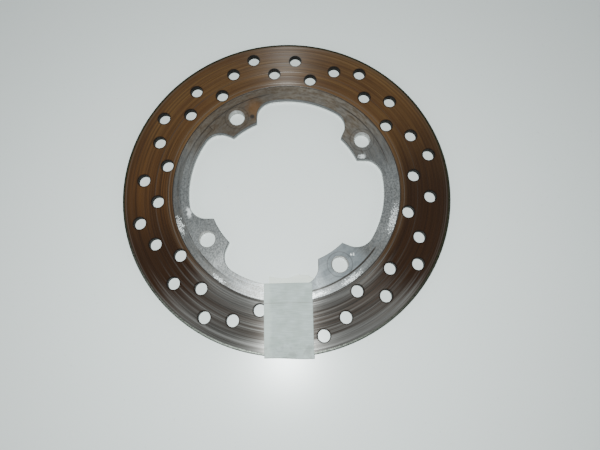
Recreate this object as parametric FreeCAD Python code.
"""Rear brake disc of a motorcycle, with the strip of paper tape that is folded over its ring.

Frame: +Z up along the wheel axis, origin on the axis in the plane of the four hub seats.
The four bolt holes lie on +X, +Y, -X and -Y. All lengths are in millimetres, all angles in degrees.
"""

import FreeCAD, Part
import math
import os

from FreeCAD import Vector

os.makedirs("parts", exist_ok=True)

# Disc: outline
RIM_RADIUS = 110.0
RIM_CHAMFER = 0.6
OPENING_RADIUS = 66.0        # inner edge of the ring between two lugs
LUG_COUNT = 4
LUG_TIP_RADIUS = 52.5        # the tips form the 105 mm register that centres the disc on the hub
LUG_TIP_HALF_ANGLE = 10.5
FLANK_FILLET_RADIUS = 12.0
FLANK_FILLET_ANGLE = 24.4    # where the fillet meets the ring's inner edge, from the lug's middle
OPENING_EDGE_BREAK = 0.3

# Disc: heights, each the same on both faces
SEAT_THICKNESS = 5.0         # the lugs, faced for the hub and the bolt heads
RING_RELIEF = 0.15           # the ring lies this far below the lug seats
WEAR_DEPTH = 0.1             # the pads have worn their band this far below the ring
SEAT_RADIUS = 71.0
SEAT_HALF_ANGLE = 15.0

# Disc: the band that the pads sweep
BAND_INNER_RADIUS = 76.8
BAND_OUTER_RADIUS = 108.4
GROOVE_WIDTH = 0.6           # narrow run-out groove along the band's inner edge
GROOVE_DEPTH = 0.2
LIP_SLOPE = 0.1

# Disc: bolt holes
BOLT_CIRCLE_RADIUS = 62.5
BOLT_HOLE_RADIUS = 5.25
BOLT_HOLE_CHAMFER = 0.5

# Disc: drilled holes, five to a run, as (radius, angle from the lug's middle)
DRILLED_HOLE_RADIUS = 4.0
DRILLED_HOLE_CHAMFER = 0.3
DRILLED_RUNS = 8
DRILLED_RUN = [(82.8, -0.4), (96.5, 7.6), (86.6, 17.1), (100.0, 25.0), (93.8, 35.1)]

# Disc: blank marking field, a shallow arc-shaped pocket in the upper face
FIELD_INNER_RADIUS = 67.5
FIELD_OUTER_RADIUS = 71.3
FIELD_START_ANGLE = 106.0
FIELD_END_ANGLE = 143.3
FIELD_DEPTH = 0.1
FIELD_CORNER_RADIUS = 1.2

# Tape: one strip, laid on the upper face, folded down past the rim and back along the underside
TAPE_WIDTH = 31.0
TAPE_THICKNESS = 0.13
TAPE_ANGLE = 237.3           # direction of the upper run, from the axis outwards
TAPE_UPPER_END = 64.0        # straight cut end of the upper run, from the axis
TAPE_FOLD_ANGLE = 235.6      # the fold is a little askew, so the lower run turns by twice the difference
TAPE_FOLD_DISTANCE = 110.9   # outside of the fold, from the axis
# torn end of the lower run, as (place across the strip, distance from the fold)
TAPE_TORN_END = [(-15.5, 51.6), (-6.5, 50.6), (-1.5, 51.2), (4.0, 53.0), (10.0, 52.8), (15.5, 49.5)]

CUT_SPARE = 5.0              # how far a cutting tool runs past what it cuts
UP = Vector(0, 0, 1)
AXIS_POINT = Vector(0, 0, 0)


def polar(radius, angle, height=0.0):
    """Point at a radius and an angle in degrees."""
    turn = math.radians(angle)
    return Vector(radius * math.cos(turn), radius * math.sin(turn), height)


def arc(radius, start, end, height=0.0):
    """Arc about the wheel axis, drawn from one angle to the other."""
    middle = polar(radius, (start + end) / 2, height)
    return Part.Arc(polar(radius, start, height), middle, polar(radius, end, height)).toShape()


def line(start, end):
    return Part.LineSegment(start, end).toShape()


def extruded(edges, height):
    """Solid made by raising a flat closed outline."""
    return Part.Face(Part.Wire(edges)).extrude(UP * height)


def polygon_plate(corners, bottom, thickness):
    """Flat plate with straight sides, from corners given in the XY plane."""
    raised = [Vector(p.x, p.y, bottom) for p in corners]
    outline = Part.makePolygon(raised + raised[:1])
    return Part.Face(outline).extrude(UP * thickness)


def mirrored_in_thickness(shape):
    """The same shape on the disc's other face."""
    return shape.mirror(Vector(0, 0, SEAT_THICKNESS / 2), UP)


def ring_blank():
    """The disc turned from its half section: seats, ring, groove, worn band, lip and rim."""
    ring = RING_RELIEF
    band = RING_RELIEF + WEAR_DEPTH
    groove_end = BAND_INNER_RADIUS
    groove_start = groove_end - GROOVE_WIDTH
    lower = [
        (LUG_TIP_RADIUS - CUT_SPARE, 0.0),
        (SEAT_RADIUS, 0.0),
        (SEAT_RADIUS, ring),
        (groove_start, ring),
        (groove_start + GROOVE_WIDTH / 4, ring + GROOVE_DEPTH),
        (groove_end - GROOVE_WIDTH / 4, ring + GROOVE_DEPTH),
        (groove_end, band),
        (BAND_OUTER_RADIUS, band),
        (BAND_OUTER_RADIUS + LIP_SLOPE, ring),
        (RIM_RADIUS - RIM_CHAMFER, ring),
        (RIM_RADIUS, ring + RIM_CHAMFER),
    ]
    upper = [(radius, SEAT_THICKNESS - height) for radius, height in reversed(lower)]
    points = [Vector(radius, 0, height) for radius, height in lower + upper]
    section = Part.Face(Part.makePolygon(points + points[:1]))
    return section.revolve(AXIS_POINT, UP, 360)


def seat_relief():
    """What is faced away between the lugs, so that only the lugs stand proud."""
    free_angle = 360.0 / LUG_COUNT - 2 * SEAT_HALF_ANGLE
    tools = []
    for lug in range(LUG_COUNT):
        base = Vector(0, 0, RING_RELIEF - CUT_SPARE)
        tool = Part.makeCylinder(SEAT_RADIUS, CUT_SPARE, base, UP, free_angle)
        tool.rotate(AXIS_POINT, UP, lug * 360.0 / LUG_COUNT + SEAT_HALF_ANGLE)
        tools += [tool, mirrored_in_thickness(tool)]
    return tools


def opening_wire(grown, height):
    """Outline of the central opening at a height, grown evenly into the metal."""
    tip_radius = LUG_TIP_RADIUS + grown
    ring_radius = OPENING_RADIUS + grown
    fillet_radius = FLANK_FILLET_RADIUS + grown
    centre = polar(OPENING_RADIUS - FLANK_FILLET_RADIUS, FLANK_FILLET_ANGLE)
    to_tip = polar(LUG_TIP_RADIUS, LUG_TIP_HALF_ANGLE) - centre
    facing = math.degrees(math.atan2(to_tip.y, to_tip.x))
    flank_normal = facing + math.degrees(math.acos(FLANK_FILLET_RADIUS / to_tip.Length))
    # the straight flank is tangent to the fillet at its foot, and ends on the tip's circle
    foot = centre + polar(fillet_radius, flank_normal)
    outwards = polar(1.0, flank_normal + 90.0)
    reach = foot.dot(outwards)
    corner = foot - outwards * (reach - math.sqrt(reach**2 - foot.dot(foot) + tip_radius**2))
    fillet_middle = centre + polar(fillet_radius, (flank_normal + FLANK_FILLET_ANGLE) / 2)
    ring_end = polar(ring_radius, FLANK_FILLET_ANGLE)
    tip_angle = math.degrees(math.atan2(corner.y, corner.x))

    pitch = 360.0 / LUG_COUNT
    edges = []
    for lug in range(LUG_COUNT):
        middle = lug * pitch
        edges.append(arc(tip_radius, middle - tip_angle, middle + tip_angle, height))
        ring_start = middle + FLANK_FILLET_ANGLE
        edges.append(arc(ring_radius, ring_start, middle + pitch - FLANK_FILLET_ANGLE, height))
        for side in (1, -1):
            points = [Vector(p.x, side * p.y, height) for p in (corner, foot, fillet_middle, ring_end)]
            flank = line(points[0], points[1])
            fillet = Part.Arc(*points[1:]).toShape()
            for edge in (flank, fillet):
                edge.rotate(AXIS_POINT, UP, middle)
                edges.append(edge)
    return Part.Wire(Part.__sortEdges__(edges))


def opening_tools():
    """The central opening with its four lugs, and the broken edges at both faces."""
    outline = opening_wire(0.0, -CUT_SPARE)
    hole = Part.Face(outline).extrude(UP * (SEAT_THICKNESS + 2 * CUT_SPARE))
    inner = opening_wire(0.0, OPENING_EDGE_BREAK)
    outer = opening_wire(2 * OPENING_EDGE_BREAK, -OPENING_EDGE_BREAK)
    edge_break = Part.makeLoft([inner, outer], True, True)
    return [hole, edge_break, mirrored_in_thickness(edge_break)]


def chamfered_hole_tools(radius, chamfer, face_height, place):
    """A through hole and the chamfer at each of its ends, where the metal starts at face_height."""
    below = place - UP * CUT_SPARE
    hole = Part.makeCylinder(radius, SEAT_THICKNESS + 2 * CUT_SPARE, below)
    height = chamfer + CUT_SPARE / 5
    mouth = Part.makeCone(radius + height, radius, height, place + UP * (face_height + chamfer - height))
    return [hole, mouth, mirrored_in_thickness(mouth)]


def bolt_hole_tools():
    tools = []
    for lug in range(LUG_COUNT):
        place = polar(BOLT_CIRCLE_RADIUS, lug * 360.0 / LUG_COUNT)
        tools += chamfered_hole_tools(BOLT_HOLE_RADIUS, BOLT_HOLE_CHAMFER, 0.0, place)
    return tools


def drilled_hole_tools():
    tools = []
    for run in range(DRILLED_RUNS):
        for radius, angle in DRILLED_RUN:
            place = polar(radius, angle + run * 360.0 / DRILLED_RUNS)
            band = RING_RELIEF + WEAR_DEPTH
            tools += chamfered_hole_tools(DRILLED_HOLE_RADIUS, DRILLED_HOLE_CHAMFER, band, place)
    return tools


def marking_field_tool():
    """The shallow arc-shaped pocket with rounded corners."""
    floor = SEAT_THICKNESS - RING_RELIEF - FIELD_DEPTH
    outer_start = polar(FIELD_OUTER_RADIUS, FIELD_START_ANGLE, floor)
    outer_end = polar(FIELD_OUTER_RADIUS, FIELD_END_ANGLE, floor)
    inner_start = polar(FIELD_INNER_RADIUS, FIELD_START_ANGLE, floor)
    inner_end = polar(FIELD_INNER_RADIUS, FIELD_END_ANGLE, floor)
    edges = [
        arc(FIELD_INNER_RADIUS, FIELD_START_ANGLE, FIELD_END_ANGLE, floor),
        line(inner_end, outer_end),
        arc(FIELD_OUTER_RADIUS, FIELD_END_ANGLE, FIELD_START_ANGLE, floor),
        line(outer_start, inner_start),
    ]
    block = extruded(edges, CUT_SPARE)
    upright = [e for e in block.Edges if len(e.Vertexes) == 2 and abs(e.tangentAt(e.FirstParameter).z) > 0.99]
    return block.makeFillet(FIELD_CORNER_RADIUS, upright)


def brake_disc():
    tools = seat_relief() + opening_tools() + bolt_hole_tools() + drilled_hole_tools()
    tools.append(marking_field_tool())
    return ring_blank().cut(tools).removeSplitter()


def masking_tape():
    """The strip: upper run, fold, and lower run with its torn end."""
    run = polar(1.0, TAPE_ANGLE)
    across = polar(1.0, TAPE_ANGLE + 90.0)
    fold_normal = polar(1.0, TAPE_FOLD_ANGLE)
    half = TAPE_WIDTH / 2
    upper_face = SEAT_THICKNESS - RING_RELIEF
    bottom = RING_RELIEF - TAPE_THICKNESS

    def on_fold(side, distance=TAPE_FOLD_DISTANCE):
        start = across * side
        return start + run * ((distance - start.dot(fold_normal)) / run.dot(fold_normal))

    def turned_under(point):
        return point - fold_normal * (2 * (point.dot(fold_normal) - TAPE_FOLD_DISTANCE))

    fold = [on_fold(-half), on_fold(half)]
    inside = TAPE_FOLD_DISTANCE - TAPE_THICKNESS
    fold_inside = [on_fold(half, inside), on_fold(-half, inside)]
    cut_end = [across * half + run * TAPE_UPPER_END, across * -half + run * TAPE_UPPER_END]
    torn_end = [turned_under(on_fold(side) + run * reach) for side, reach in reversed(TAPE_TORN_END)]

    upper_run = polygon_plate(fold + cut_end, upper_face, TAPE_THICKNESS)
    wall = polygon_plate(fold + fold_inside, bottom, SEAT_THICKNESS - 2 * bottom)
    lower_run = polygon_plate(fold + torn_end, bottom, TAPE_THICKNESS)
    return upper_run.fuse([wall, lower_run]).removeSplitter()


NODES = {"brake_disc": brake_disc, "masking_tape": masking_tape}

for name, make in NODES.items():
    shape = make()
    solids = shape.Solids
    shape = solids[0] if len(solids) == 1 else shape
    print(name, "solids", len(solids), "valid", shape.isValid(), "volume", round(shape.Volume, 1))
    shape.exportStep("parts/" + name + ".step")
